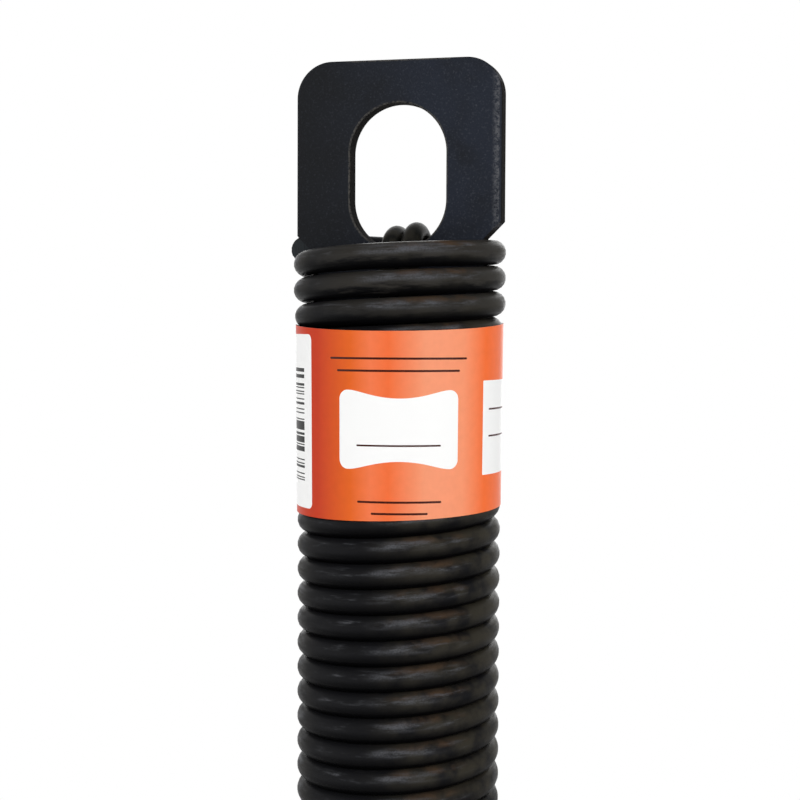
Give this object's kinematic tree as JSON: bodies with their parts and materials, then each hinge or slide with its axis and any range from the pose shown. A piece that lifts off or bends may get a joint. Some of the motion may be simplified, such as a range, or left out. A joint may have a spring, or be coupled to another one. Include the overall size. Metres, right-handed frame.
{
  "type": "garage door extension spring",
  "caption": "Plug-end extension spring for a one-piece garage door: a black close-wound coil with a slotted steel plate screwed into each end, a safety wire inside and an orange paper label.",
  "frame": {"origin": "the middle of the spring, on the axis of its coil", "axes": "+Z runs along the axis of the coil to the end with the label, and both slotted plates lie in the XZ plane with their slots open along Y"},
  "size_m": [0.0734, 0.0616, 0.7092],
  "materials": {
    "spring_wire": "satin",
    "plate_steel": "satin",
    "safety_steel": "satin",
    "label_paper": "satin"
  },
  "bodies": {
    "root": {"extension_coil": "spring_wire", "upper_plug_plate": "plate_steel", "lower_plug_plate": "plate_steel", "safety_wire": "safety_steel", "wrap_label": "label_paper"}
  },
  "joints": []
}
